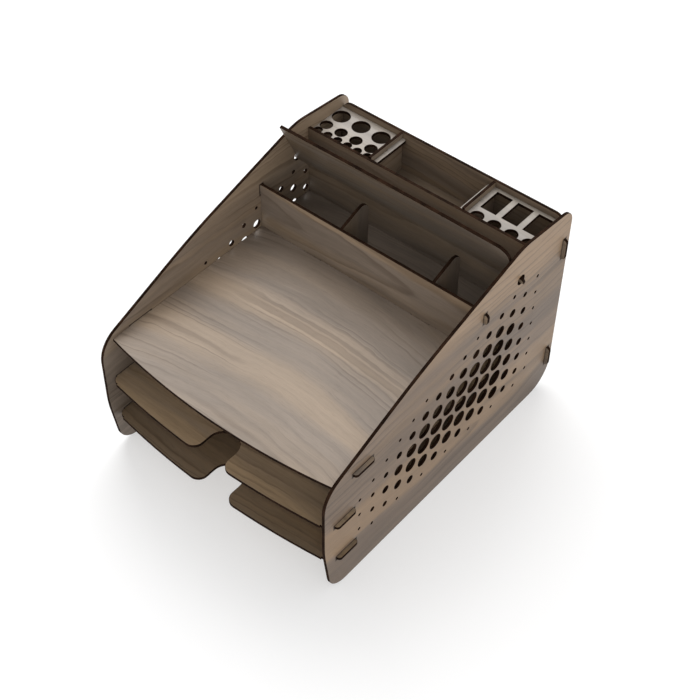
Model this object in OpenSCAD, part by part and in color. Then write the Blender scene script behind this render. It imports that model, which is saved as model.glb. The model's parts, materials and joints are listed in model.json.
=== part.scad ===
// Desk organizer of slotted thin boards: two perforated side panels carry three
// letter shelves, a divided compartment with a hinged lid, and a row of pen trays.
// Millimetres. X is across, Y runs to the back, Z is up, and the desk is at Z = 0.

/* [Boards] */
// Thickness of every board
board_t = 3; // [2.6:0.1:3.6]
// Clearance on each side of a tab in its slot
slot_gap = 0.15; // [0.1:0.05:0.3]
// How far a side tab stands out of the board that it passes through
tab_proud = 3.6; // [1:0.1:5]
// Radius of a side tab's outer corners
tab_r = 3.2; // [0.5:0.1:5]
// Length of the tabs that hold the letter shelves
shelf_tab = 25; // [16:1:36]
// Length of the hidden tabs inside the case
inner_tab = 20; // [10:1:28]

/* [Case] */
// Width between the side panels
inner_w = 252; // [230:1:300]
// Depth over the shelf fronts and the rear edges
case_d = 337; // [320:1:380]
// Distance from the rear edges to the back panel's rear face
back_inset = 6.5; // [4:0.5:12]
// Height of the back panel's lower edge
back_bottom = 20; // [14:1:26]
// Height of the back panel's upper edge
back_top = 214.4; // [208:0.2:218]
// Radius of the back panel's upper corners
back_r = 10; // [0:1:15]

/* [Side outline] */
// Distance of the side panels' front edge behind the foremost shelf
side_set = 3; // [0:0.5:8]
// Distance of the toe behind the side panels' front edge
toe_set = 9; // [4:1:20]
// Radius of the toe
toe_r = 22; // [10:1:30]
// Height of the bend in the front edge
knee_z = 62; // [40:1:80]
// Radius of the front edge's bend
knee_r = 150; // [50:10:200]
// Radius at the brow, where the front edge turns into the slope
brow_r = 30; // [10:1:40]
// Distance of the slope's bend behind the brow
bend_d = 120.5; // [100:0.5:140]
// Height of the slope's bend
bend_z = 185.5; // [180:0.5:188]
// Radius of the slope's bend
bend_r = 700; // [200:50:800]
// Distance of the crest in front of the rear edge
crest_d = 73.7; // [60:0.1:90]
// Height of the crest
crest_z = 226.9; // [222:0.1:234]
// Radius of the crest
crest_r = 60; // [20:5:80]
// Height of the rear upper corner
heel_z = 220.2; // [214:0.1:224]
// Radius of the rear upper corner
heel_r = 14.5; // [5:0.5:20]
// Radius of the rear lower corner
rear_r = 29; // [15:1:34]

/* [Perforation] */
// Pitch of the hole pattern
perf_pitch = 20; // [18:0.5:22]
// Diameter of the largest holes
perf_d = 16; // [8:0.2:17]
// Diameter of the smallest holes
perf_min_d = 3; // [2:0.2:5]
// Distance of the pattern's middle column in front of the rear edge
perf_back = 98.4; // [95:0.1:101]
// Height of the pattern's middle row
perf_z = 102.8; // [99:0.1:106]

/* [Letter shelves] */
// Height of the lowest shelf's upper face
low_z = 42.8; // [36:0.2:50]
// Height from one shelf to the next
shelf_pitch = 46.8; // [42:0.2:50]
// Distance of the lowest shelf's front behind the foremost one
low_set = 1.5; // [0:0.5:10]
// Distance of the top board's front behind the foremost shelf
deck_set = 5.7; // [2:0.1:12]
// How far a letter shelf's front edge is bowed
shelf_bow = 9.7; // [2:0.1:15]
// How far the top board's front edge is bowed
deck_bow = 11.8; // [2:0.1:15]
// Radius of a letter shelf's front corners
shelf_r = 7; // [1:1:15]
// Width of the thumb notch
notch_w = 30; // [20:1:50]
// Depth of the thumb notch
notch_d = 34.5; // [25:0.5:60]
// Radius at the mouth of the thumb notch
notch_r = 10; // [2:1:14]
// Distance of the lowest shelf's side tabs behind its front corners
low_tab_set = 7.5; // [4:0.5:30]
// Distance of the middle shelf's side tabs behind its front corners
mid_tab_set = 6; // [4:0.5:30]
// Distance of the top board's side tabs behind its front corners
deck_tab_set = 21; // [10:0.5:40]
// Distance of the rear tabs from the middle
rear_tab_x = 75; // [40:1:100]

/* [Side tabs of the upright boards] */
// Length of the back panel's side tabs
back_tab = 22.5; // [14:0.5:28]
// Height of the middle of the back panel's upper tabs
back_tab_high = 178; // [165:1:190]
// Height of the middle of the back panel's lower tabs
back_tab_low = 38.5; // [34:0.5:50]
// Length of the lip's side tabs
lip_tab = 11; // [8:0.5:20]
// Distance of the lip's tab below its upper edge
lip_tab_drop = 1; // [1:0.5:10]

/* [Lidded compartment] */
// Distance of the lip's front face in front of the back panel
lip_d = 117.1; // [110:0.1:125]
// Height of the lip above the top board
lip_h = 50.6; // [40:0.2:52]
// Distance of the rear wall's front face in front of the back panel
wall_d = 49.7; // [44:0.1:60]
// Height of the rear wall above the top board
wall_h = 76; // [70:0.5:80]
// Length of the fins behind the lip
fin_len = 36.1; // [25:0.1:38]
// Rise of the fins' upper edge over their length
fin_rise = 13; // [5:0.5:14]
// Radius of the fins' rear corner
fin_r = 9; // [3:0.5:12]
// Clear width of the left bay, between the side panel and the left fin
left_bay_w = 93.5; // [75:0.5:105]
// Clear width of the right bay, between the right fin and the side panel
right_bay_w = 52; // [35:0.5:62]

/* [Pen row] */
// Clear width of the pen tray, between the side panel and the left divider
pen_tray_w = 69.9; // [69.9:0.1:80]
// Clear width of the tool tray, between the right divider and the side panel
tool_tray_w = 73.2; // [70:0.1:82]
// Height of the grid boards' upper face above the top board
grid_h = 71.6; // [66:0.1:76]
// How far the dividers stand above the grid boards
div_proud = 5.8; // [1:0.1:8]
// How far the grid boards reach past the dividers
grid_over = 4.6; // [2:0.1:6]
// Radius of the grid boards' corners over the bin
grid_r = 2.6; // [0.5:0.1:4]
// Height of the bin floor's upper face above the top board
bin_h = 35.4; // [15:0.2:50]

/* [Grid holes] */
// Diameter of the large round holes
pen_large_d = 17.6; // [12:0.2:20]
// Diameter of the middle round holes
pen_mid_d = 12.2; // [8:0.2:14]
// Diameter of the small round holes
pen_small_d = 8.5; // [5:0.1:9]
// Pitch of the large round holes
pen_large_pitch = 24; // [20:0.1:24.5]
// Pitch of the middle round holes
pen_mid_pitch = 17.9; // [14:0.1:18.5]
// Web between the large and the middle holes and the side panel
pen_side_web = 0.6; // [0.4:0.1:2]
// Web between the small holes and the side panel
pen_small_web = 1.2; // [0.6:0.1:2]
// Web between the large holes and the back panel
pen_rear_web = 4.2; // [3:0.1:5]
// Web between the large and the middle holes
pen_row_web = 3.6; // [2:0.1:4]
// Web between the small holes and the rear wall
pen_front_web = 0.6; // [0.4:0.1:2]
// Pitch of the small round holes
pen_small_pitch = 11.8; // [9.5:0.1:11.8]
// Width of the square-cornered holes
tool_w = 16.5; // [10:0.5:20]
// Depth of the square-cornered holes
tool_d = 26; // [18:0.5:28]
// Pitch of the square-cornered holes
tool_pitch = 22.65; // [20:0.05:23.5]
// Web between the square-cornered holes and the side panel
tool_side_web = 5.8; // [4:0.1:7]
// Web between the square-cornered holes and the back panel
tool_rear_web = 4.3; // [3:0.1:6]
// Diameter of the round holes in front of the square-cornered ones
tool_round_d = 13; // [8:0.5:14]
// Pitch of those round holes
tool_round_pitch = 18.3; // [15:0.1:19]
// Web between those round holes and the side panel
tool_round_web = 1.5; // [0.6:0.1:4]
// How far those round holes run out of the board's front edge
tool_round_open = 1.8; // [1:0.1:3]

/* [Lid] */
// Length of the lid from its pivot to its edge at the sides
lid_len = 54.6; // [48:0.2:56]
// How far the lid's edge is bowed
lid_bow = 2.4; // [0.5:0.1:5]
// Clearance between the lid and each side panel
lid_gap = 0.5; // [0.3:0.1:1.5]
// Radius of the lid's right corner
lid_r = 13; // [3:1:20]
// Radius of the lid's left corner
lid_left_r = 2; // [0.5:0.5:10]
// Width of the lid's pivot tabs
pivot_tab = 9; // [6:0.2:10]
// How far the pivot tabs stand out of the side panels
pivot_proud = 3; // [1:0.2:5]
// Clearance between the pivot tabs' corners and their holes
pivot_gap = 0.25; // [0.15:0.05:0.5]
// Distance of the pivot in front of the back panel
pivot_d = 64.6; // [62:0.1:68]
// Height of the pivot above the top board
pivot_h = 52; // [48:0.2:54]
// Lean of the lid in front of upright, as it stands here
lid_lean = 25.8; // [0:0.1:60]

/* [Hidden] */

half_w = inner_w / 2;
front_y = -case_d / 2;
rear_y = case_d / 2;
brow_y = front_y + side_set;
back_y = rear_y - back_inset - board_t;
mid_z = low_z + shelf_pitch;
deck_z = mid_z + shelf_pitch;
low_y = front_y + low_set;
deck_y = front_y + deck_set;
lip_y = back_y - lip_d;
lip_z = deck_z + lip_h;
wall_y = back_y - wall_d;
tray_y = wall_y + board_t;
tray_mid_y = (tray_y + back_y) / 2;
wall_z = deck_z + wall_h;
fin_y = lip_y + board_t;
fin_left_x = -half_w + left_bay_w + board_t / 2;
fin_right_x = half_w - right_bay_w - board_t / 2;
div_left_x = -half_w + pen_tray_w + board_t / 2;
div_right_x = half_w - tool_tray_w - board_t / 2;
grid_z = deck_z + grid_h;
div_z = grid_z + div_proud;
bin_z = deck_z + bin_h;
pivot_y = back_y - pivot_d;
pivot_z = deck_z + pivot_h;
pivot_hole_d = norm([pivot_tab, board_t]) + 2 * pivot_gap;
low_tab_y = low_y + shelf_bow + low_tab_set + shelf_tab / 2;
mid_tab_y = front_y + shelf_bow + mid_tab_set + shelf_tab / 2;
deck_tab_y = deck_y + deck_bow + deck_tab_set + shelf_tab / 2;
lip_tab_z = lip_z - lip_tab_drop - lip_tab / 2;
lip_foot_x = half_w / 2;
// Edges of the perforation: their distance from its middle hole, the rise of the upper
// one per column, and the width of the fade along each, in rows or columns
perf_columns = [-11 : 3];
perf_rows = [-3 : 4];
perf_low = 3;
perf_low_fade = 2;
perf_front = 11;
perf_front_fade = 4.6;
perf_rear = 3;
perf_rear_fade = 3;
perf_top = 3.5;
perf_top_rise = 0.245;
perf_brow = 5.02;
perf_brow_rise = 0.5;
perf_top_fade = 2.2;
hole_fn = 48;
bow_fn = 360;
lid_bow_fn = 1440;
arc_angle = 9;
arc_chord = 5;
lap = 1;

// Colours of the boards
col_side = [0.55, 0.48, 0.42];
col_shelf = [0.64, 0.58, 0.52];
col_inner = [0.40, 0.34, 0.28];
col_grid = [0.72, 0.69, 0.66];
col_lid = [0.44, 0.37, 0.31];

function unit(v) = v / norm(v);
function xy(p) = [p[0], p[1]];
function turned(angle) = angle > 180 ? angle - 360 : angle < -180 ? angle + 360 : angle;
function arc_count(r, sweep) = ceil(max(abs(sweep) / arc_angle, r * abs(sweep) * PI / 180 / arc_chord, 1));

// One corner of an outline, rounded by an arc that stays within its two edges
function corner(before, at, after, r) =
    r <= 0 ? [at] :
    let (a = unit(before - at), b = unit(after - at), half = acos(a * b) / 2)
    let (run = min(r / tan(half), 0.49 * min(norm(before - at), norm(after - at))))
    let (radius = run * tan(half), centre = at + unit(a + b) * radius / sin(half))
    let (from = at + a * run - centre, to = at + b * run - centre)
    let (start = atan2(from[1], from[0]), sweep = turned(atan2(to[1], to[0]) - start))
    let (count = arc_count(radius, sweep))
    [for (i = [0 : count]) centre + radius * [cos(start + sweep * i / count), sin(start + sweep * i / count)]];

// An outline whose points are [x, y, corner radius]
function rounded(points) = let (n = len(points)) [
    for (i = [0 : n - 1])
        each corner(xy(points[(i + n - 1) % n]), xy(points[i]), xy(points[(i + 1) % n]), points[i][2])
];

// Share of the full growth at a distance from the pattern's edge, reached over width
function fade(distance, width, power = 1) = 1 - pow(1 - min(distance / width, 1), power);

// Hole diameter at column u and row v, from the smallest along the pattern's edges to the
// largest in its middle, or 0 beyond an edge
function perf_hole(u, v) =
    let (low = perf_low + v, front = perf_front + u, rear = perf_rear - u)
    let (top = min(perf_top + perf_top_rise * u, perf_brow + perf_brow_rise * u) - v)
    min(low, front, rear, top) < 0 ? 0 :
    perf_min_d + (perf_d - perf_min_d) * fade(low, perf_low_fade, 2)
        * fade(front, perf_front_fade) * fade(rear, perf_rear_fade) * fade(top, perf_top_fade);

// Radius of the arc that is bowed by sag over a chord of the given half length
function bow_radius(half, sag) = (half * half + sag * sag) / (2 * sag);

// A board in the YZ plane, its drawn outline given as [y, z], with its middle at x
module upright_yz(x) {
    translate([x - board_t / 2, 0, 0]) rotate([90, 0, 90]) linear_extrude(board_t) children();
}

// A board in the XZ plane, its drawn outline given as [x, z], with its front face at y
module upright_xz(y) {
    translate([0, y + board_t, 0]) rotate([90, 0, 0]) linear_extrude(board_t) children();
}

// A level board whose upper face is at z
module level(z) {
    translate([0, 0, z - board_t]) linear_extrude(board_t) children();
}

// Outline of a tab that starts at the origin and reaches along +X
module tab(length, reach, r) {
    polygon(rounded([[-lap, -length / 2, 0], [reach, -length / 2, r],
        [reach, length / 2, r], [-lap, length / 2, 0]]));
}

// Side tabs at both ends of a board, with their middle at the given place along its ends
module side_tabs(at, length) {
    for (side = [-1, 1]) translate([side * half_w, at]) rotate(90 - 90 * side)
        tab(length, board_t + tab_proud, tab_r);
}

// Outline of the slot round a tab, as wide and high as the tab plus its clearance
module slot(size_a, size_b) {
    square([size_a + 2 * slot_gap, size_b + 2 * slot_gap], center = true);
}

// What a rounded corner at the origin takes away, with the board towards +X and +Y
module corner_cut(r) {
    difference() {
        translate([-lap, -lap]) square(r + lap);
        translate([r, r]) circle(r, $fn = hole_fn);
    }
}

// A level board from a bowed front edge to the back panel
module bowed_outline(y, sag) {
    radius = bow_radius(half_w, sag);
    intersection() {
        translate([-half_w, y]) square([inner_w, back_y - y]);
        translate([0, y + radius]) circle(radius, $fn = bow_fn);
    }
}

// Tabs of a level board that pass through the back panel
module rear_tabs() {
    for (side = [-1, 1]) translate([side * rear_tab_x, back_y]) rotate(90)
        tab(shelf_tab, board_t + tab_proud, tab_r);
}

// Outline of a thumb notch whose mouth is at the front edge y
module notch(y) {
    translate([-notch_w / 2, y - lap]) square([notch_w, notch_d - notch_w / 2 + lap]);
    translate([0, y + notch_d - notch_w / 2]) circle(d = notch_w, $fn = 2 * hole_fn);
    translate([notch_w / 2, y]) corner_cut(notch_r);
    translate([-notch_w / 2, y]) rotate(90) corner_cut(notch_r);
}

// A letter shelf whose foremost edge, at the notch's mouth, is at y
module letter_shelf(z, y, tab_y) {
    radius = bow_radius(half_w, shelf_bow);
    apex = y - radius + sqrt(radius * radius - pow(notch_w / 2 + notch_r, 2));
    level(z) {
        difference() {
            bowed_outline(apex, shelf_bow);
            notch(y);
            translate([-half_w, apex + shelf_bow]) corner_cut(shelf_r);
            translate([half_w, apex + shelf_bow]) rotate(90) corner_cut(shelf_r);
        }
        side_tabs(tab_y, shelf_tab);
        rear_tabs();
    }
}

module shelf_bottom() { color(col_shelf) letter_shelf(low_z, low_y, low_tab_y); }

module shelf_middle() { color(col_shelf) letter_shelf(mid_z, front_y, mid_tab_y); }

module shelf_top() {
    color(col_shelf) level(deck_z) {
        difference() {
            bowed_outline(deck_y, deck_bow);
            for (side = [-1, 1]) {
                translate([side * lip_foot_x, lip_y + board_t / 2]) slot(inner_tab, board_t);
                translate([side * lip_foot_x, wall_y + board_t / 2]) slot(inner_tab, board_t);
            }
            for (x = [fin_left_x, fin_right_x])
                translate([x, fin_y + fin_len / 2]) slot(board_t, inner_tab);
            for (x = [div_left_x, div_right_x])
                translate([x, tray_mid_y]) slot(board_t, inner_tab);
        }
        side_tabs(deck_tab_y, shelf_tab);
        rear_tabs();
    }
}

// Outline of a side panel as [y, z]
module side_outline() {
    polygon(rounded([
        [brow_y + toe_set, 0, toe_r],
        [brow_y, knee_z, knee_r],
        [brow_y, deck_z, brow_r],
        [brow_y + bend_d, bend_z, bend_r],
        [rear_y - crest_d, crest_z, crest_r],
        [rear_y, heel_z, heel_r],
        [rear_y, 0, rear_r]
    ]));
}

module perforation() {
    column = perf_pitch * cos(30);
    for (u = perf_columns, row = perf_rows) {
        v = row + (u % 2 == 0 ? 0 : 0.5);
        d = perf_hole(u, v);
        if (d > 0) translate([rear_y - perf_back + u * column, perf_z + v * perf_pitch])
            circle(d = d, $fn = hole_fn);
    }
}

module side_panel(side) {
    color(col_side) upright_yz(side * (half_w + board_t / 2)) difference() {
        side_outline();
        perforation();
        translate([low_tab_y, low_z - board_t / 2]) slot(shelf_tab, board_t);
        translate([mid_tab_y, mid_z - board_t / 2]) slot(shelf_tab, board_t);
        translate([deck_tab_y, deck_z - board_t / 2]) slot(shelf_tab, board_t);
        for (z = [back_tab_low, back_tab_high])
            translate([back_y + board_t / 2, z]) slot(board_t, back_tab);
        translate([lip_y + board_t / 2, lip_tab_z]) slot(board_t, lip_tab);
        translate([pivot_y, pivot_z]) circle(d = pivot_hole_d, $fn = hole_fn);
    }
}

module side_panel_left() { side_panel(-1); }

module side_panel_right() { side_panel(1); }

module back_panel() {
    color(col_inner) upright_xz(back_y) {
        difference() {
            polygon(rounded([[-half_w, back_bottom, 0], [half_w, back_bottom, 0],
                [half_w, back_top, back_r], [-half_w, back_top, back_r]]));
            for (z = [low_z, mid_z, deck_z], side = [-1, 1])
                translate([side * rear_tab_x, z - board_t / 2]) slot(shelf_tab, board_t);
        }
        side_tabs(back_tab_low, back_tab);
        side_tabs(back_tab_high, back_tab);
    }
}

// Hidden foot tabs of an upright board at both sides of the case
module foot_tabs() {
    for (side = [-1, 1]) translate([side * lip_foot_x, deck_z]) rotate(-90)
        tab(inner_tab, board_t, 0);
}

module compartment_lip() {
    color(col_inner) upright_xz(lip_y) {
        translate([-half_w, deck_z]) square([inner_w, lip_h]);
        side_tabs(lip_tab_z, lip_tab);
        foot_tabs();
    }
}

module compartment_rear_wall() {
    color(col_inner) upright_xz(wall_y) {
        translate([-half_w, deck_z]) square([inner_w, wall_h]);
        foot_tabs();
    }
}

module fin(x) {
    color(col_inner) upright_yz(x) {
        polygon(rounded([[fin_y, deck_z, 0], [fin_y + fin_len, deck_z, 0],
            [fin_y + fin_len, lip_z + fin_rise, fin_r], [fin_y, lip_z, 0]]));
        translate([fin_y + fin_len / 2, deck_z]) rotate(-90) tab(inner_tab, board_t, 0);
    }
}

module compartment_fin_left() { fin(fin_left_x); }

module compartment_fin_right() { fin(fin_right_x); }

// The grid board halves this upright: its rear half is slotted for the grid board
module tray_divider(x) {
    color(col_inner) upright_yz(x) {
        difference() {
            translate([tray_y, deck_z]) square([back_y - tray_y, div_z - deck_z]);
            translate([tray_mid_y - slot_gap, grid_z - board_t - slot_gap])
                square([back_y - tray_mid_y + slot_gap + lap, board_t + 2 * slot_gap]);
            translate([tray_mid_y, bin_z - board_t / 2]) slot(inner_tab, board_t);
        }
        translate([tray_mid_y, deck_z]) rotate(-90) tab(inner_tab, board_t, 0);
    }
}

module tray_divider_left() { tray_divider(div_left_x); }

module tray_divider_right() { tray_divider(div_right_x); }

module bin_floor() {
    left = div_left_x + board_t / 2;
    right = div_right_x - board_t / 2;
    color(col_inner) level(bin_z) {
        translate([left, tray_y]) square([right - left, back_y - tray_y]);
        translate([right, tray_mid_y]) tab(inner_tab, board_t, 0);
        translate([left, tray_mid_y]) rotate(180) tab(inner_tab, board_t, 0);
    }
}

// Outline of a grid board from side * half_w to just past its divider, slotted halfway
module grid_outline(side, x) {
    inner = side * x - board_t / 2 - grid_over;
    mirror([side < 0 ? 1 : 0, 0]) difference() {
        polygon(rounded([[inner, tray_y, grid_r], [half_w, tray_y, 0],
            [half_w, back_y, 0], [inner, back_y, grid_r]]));
        translate([side * x - board_t / 2 - slot_gap, tray_y - lap])
            square([board_t + 2 * slot_gap, tray_mid_y - tray_y + slot_gap + lap]);
    }
}

// A row of round holes from the first place on, count of them
module hole_row(first_x, y, pitch, count, d) {
    for (i = [0 : count - 1]) translate([first_x + i * pitch, y]) circle(d = d, $fn = hole_fn);
}

module pen_grid() {
    large_x = -half_w + pen_side_web + pen_large_d / 2;
    mid_x = -half_w + pen_side_web + pen_mid_d / 2;
    small_x = -half_w + pen_small_web + pen_small_d / 2;
    large_y = back_y - pen_rear_web - pen_large_d / 2;
    mid_y = large_y - pen_large_d / 2 - pen_row_web - pen_mid_d / 2;
    small_y = tray_y + pen_front_web + pen_small_d / 2;
    color(col_grid) level(grid_z) difference() {
        grid_outline(-1, div_left_x);
        hole_row(large_x, large_y, pen_large_pitch, 3, pen_large_d);
        hole_row(mid_x, mid_y, pen_mid_pitch, 4, pen_mid_d);
        hole_row(small_x, small_y, pen_small_pitch, 6, pen_small_d);
    }
}

module tool_grid() {
    slot_x = half_w - tool_side_web - tool_w;
    slot_y = back_y - tool_rear_web - tool_d;
    round_x = half_w - tool_round_web - tool_round_d / 2 - 3 * tool_round_pitch;
    round_y = tray_y - tool_round_open + tool_round_d / 2;
    color(col_grid) level(grid_z) difference() {
        grid_outline(1, div_right_x);
        for (i = [0 : 2]) translate([slot_x - i * tool_pitch, slot_y]) square([tool_w, tool_d]);
        hole_row(round_x, round_y, tool_round_pitch, 4, tool_round_d);
    }
}

// The lid lies in its own plane with the pivot at the origin and its edge at +Y
module lid_outline() {
    half = half_w - lid_gap;
    radius = bow_radius(half, lid_bow);
    intersection() {
        polygon(rounded([[-half, -pivot_tab / 2, 0], [half, -pivot_tab / 2, 0],
            [half, lid_len + lid_bow / 4, lid_r], [half - 2 * lid_r, lid_len + lid_bow, 0],
            [-half + 2 * lid_r, lid_len + lid_bow, 0], [-half, lid_len + lid_bow / 4, lid_left_r]]));
        translate([0, lid_len + lid_bow - radius]) circle(radius, $fn = lid_bow_fn);
    }
}

module lid() {
    reach = lid_gap + board_t + pivot_proud;
    color(col_lid) translate([0, pivot_y, pivot_z]) rotate([lid_lean, 0, 0])
        translate([0, board_t / 2, 0]) rotate([90, 0, 0]) linear_extrude(board_t) {
            lid_outline();
            for (side = [-1, 1]) translate([side * (half_w - lid_gap), 0]) rotate(90 - 90 * side)
                tab(pivot_tab, reach, pivot_proud / 2);
        }
}

side_panel_left();
side_panel_right();
back_panel();
shelf_bottom();
shelf_middle();
shelf_top();
compartment_lip();
compartment_rear_wall();
compartment_fin_left();
compartment_fin_right();
tray_divider_left();
tray_divider_right();
bin_floor();
pen_grid();
tool_grid();
lid();
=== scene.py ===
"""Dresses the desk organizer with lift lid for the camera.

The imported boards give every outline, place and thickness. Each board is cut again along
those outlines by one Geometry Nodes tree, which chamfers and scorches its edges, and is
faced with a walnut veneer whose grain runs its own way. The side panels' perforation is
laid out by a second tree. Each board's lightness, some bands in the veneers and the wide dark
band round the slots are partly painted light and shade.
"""

import json
import logging
import math
from dataclasses import dataclass, field
from enum import Enum

import bmesh
import bpy
import numpy as np
from mathutils import Matrix, Vector


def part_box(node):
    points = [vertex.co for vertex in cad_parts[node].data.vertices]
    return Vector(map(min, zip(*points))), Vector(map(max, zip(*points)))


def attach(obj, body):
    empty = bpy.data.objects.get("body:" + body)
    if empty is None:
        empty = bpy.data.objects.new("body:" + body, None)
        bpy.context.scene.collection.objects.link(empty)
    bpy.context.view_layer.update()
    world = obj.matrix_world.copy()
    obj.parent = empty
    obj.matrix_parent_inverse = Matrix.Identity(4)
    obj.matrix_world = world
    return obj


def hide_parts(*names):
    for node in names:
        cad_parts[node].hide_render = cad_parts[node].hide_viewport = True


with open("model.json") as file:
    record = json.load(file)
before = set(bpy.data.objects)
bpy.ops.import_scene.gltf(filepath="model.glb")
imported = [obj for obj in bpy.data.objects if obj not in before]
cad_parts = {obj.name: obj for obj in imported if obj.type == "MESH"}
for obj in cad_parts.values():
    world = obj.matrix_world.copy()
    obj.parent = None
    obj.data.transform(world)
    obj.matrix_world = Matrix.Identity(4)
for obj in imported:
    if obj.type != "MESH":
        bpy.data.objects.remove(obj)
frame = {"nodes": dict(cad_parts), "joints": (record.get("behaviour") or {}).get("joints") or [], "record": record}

LOG = logging.getLogger("organizer")
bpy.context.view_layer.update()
MM = 0.001

Colour = tuple[float, float, float]


class Socket:
    """An output socket of a node tree, on which arithmetic adds Math nodes."""

    def __init__(self, graph: "NodeGraph", socket: bpy.types.NodeSocket) -> None:
        """Keeps the tree that the socket belongs to.

        Args:
            graph: The tree that new nodes go into.
            socket: The output socket itself.
        """
        self.graph = graph
        self.socket = socket

    def other(self, name: str) -> "Socket":
        """Returns another output of the same node."""
        return Socket(self.graph, self.graph.pick(self.socket.node.outputs, name))

    def math(self, operation: str, *values: object) -> "Socket":
        """Returns the result of a Math node on this socket and the given values."""
        inputs = dict(enumerate((self, *values)))
        return self.graph.node("ShaderNodeMath", {"operation": operation}, inputs)

    def before(self, operation: str, value: float) -> "Socket":
        """Returns the result of a Math node whose first input is the plain value."""
        return self.graph.node("ShaderNodeMath", {"operation": operation}, {0: value, 1: self})

    def __add__(self, value: object) -> "Socket":
        """Adds."""
        return self.math("ADD", value)

    def __radd__(self, value: float) -> "Socket":
        """Adds, with the number first."""
        return self.before("ADD", value)

    def __sub__(self, value: object) -> "Socket":
        """Subtracts."""
        return self.math("SUBTRACT", value)

    def __rsub__(self, value: float) -> "Socket":
        """Subtracts from a number."""
        return self.before("SUBTRACT", value)

    def __mul__(self, value: object) -> "Socket":
        """Multiplies."""
        return self.math("MULTIPLY", value)

    def __rmul__(self, value: float) -> "Socket":
        """Multiplies, with the number first."""
        return self.before("MULTIPLY", value)

    def __truediv__(self, value: object) -> "Socket":
        """Divides."""
        return self.math("DIVIDE", value)

    def __pow__(self, value: object) -> "Socket":
        """Raises to a power."""
        return self.math("POWER", value)

    def clamped(self) -> "Socket":
        """Returns the value kept between 0 and 1."""
        return self.math("MAXIMUM", 0.0).math("MINIMUM", 1.0)

    def between(self, low: float, high: float) -> "Socket":
        """Returns 0 below low and 1 above high, with a smooth step between them."""
        return self.graph.node(
            "ShaderNodeMapRange",
            {"interpolation_type": "SMOOTHSTEP"},
            {"Value": self, "From Min": low, "From Max": high},
        )


class NodeGraph:
    """A node tree under construction, for a material or for Geometry Nodes."""

    def __init__(self, tree: bpy.types.NodeTree) -> None:
        """Starts from the given tree, whose old nodes are removed."""
        self.tree = tree
        self.tree.nodes.clear()

    @staticmethod
    def pick(sockets: object, name: object) -> bpy.types.NodeSocket:
        """Returns the socket of that name or index.

        Args:
            sockets: A node's inputs or outputs.
            name: A socket's name, of which the first enabled one is taken, or its index.

        Returns:
            The socket.
        """
        if isinstance(name, int):
            return sockets[name]
        return next(s for s in sockets if s.name == name and s.enabled)

    def node(
        self,
        kind: str,
        settings: dict[str, object] | None = None,
        values: dict[object, object] | None = None,
        output: object = 0,
    ) -> Socket:
        """Adds a node.

        Args:
            kind: The node's type.
            settings: Its own settings, set first. "stops" gives a ramp's places and colours.
            values: What goes into its sockets, as numbers, sockets or lists of sockets.
            output: Name or index of the output to return.

        Returns:
            The chosen output socket, or the first one.
        """
        made = self.tree.nodes.new(kind)
        for name, value in (settings or {}).items():
            if name == "stops":
                self.set_stops(made.color_ramp, value)
            else:
                setattr(made, name, value)
        for name, value in (values or {}).items():
            socket = self.pick(made.inputs, name)
            for item in value if isinstance(value, list) else [value]:
                if isinstance(item, Socket):
                    self.tree.links.new(item.socket, socket)
                else:
                    socket.default_value = item
        if not made.outputs:
            return Socket(self, None)
        return Socket(self, self.pick(made.outputs, output))

    @staticmethod
    def set_stops(ramp: bpy.types.ColorRamp, stops: list[tuple[float, Colour]]) -> None:
        """Sets a colour ramp's stops."""
        while len(ramp.elements) > 1:
            ramp.elements.remove(ramp.elements[-1])
        for number, (place, colour) in enumerate(stops):
            element = ramp.elements[0] if number == 0 else ramp.elements.new(place)
            element.position = place
            element.color = (*colour, 1.0)

    def mixed(self, factor: object, first: object, second: object, blend: str = "MIX") -> Socket:
        """Returns a Mix node's colour.

        Args:
            factor: Share of the second colour.
            first: The first colour or socket.
            second: The second colour or socket.
            blend: The way of mixing.

        Returns:
            The mixed colour.
        """
        colours = [c if isinstance(c, Socket) else (*c, 1.0) for c in (first, second)]
        return self.node(
            "ShaderNodeMix",
            {"data_type": "RGBA", "blend_type": blend},
            {"Factor": factor, "A": colours[0], "B": colours[1]},
            "Result",
        )

    def vector(self, x: object, y: object, z: object) -> Socket:
        """Returns a vector of three values."""
        return self.node("ShaderNodeCombineXYZ", None, {"X": x, "Y": y, "Z": z})

    def scaled(self, vector: object, factor: object) -> Socket:
        """Returns a vector or colour times a factor."""
        values = {"Vector": vector, "Scale": factor}
        return self.node("ShaderNodeVectorMath", {"operation": "SCALE"}, values)

    def noise(self, place: Socket, detail: float = 2.0, rough: float = 0.5) -> Socket:
        """Returns noise about 0.5 at a place that is already scaled."""
        values = {"Vector": place, "Scale": 1.0, "Detail": detail, "Roughness": rough}
        return self.node("ShaderNodeTexNoise", {"noise_dimensions": "3D"}, values)


class Grain(Enum):
    """Way that a veneer's grain runs in its board's own plane."""

    LENGTHWISE = "along the board's first axis"
    CROSSWISE = "along the board's second axis"


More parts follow.
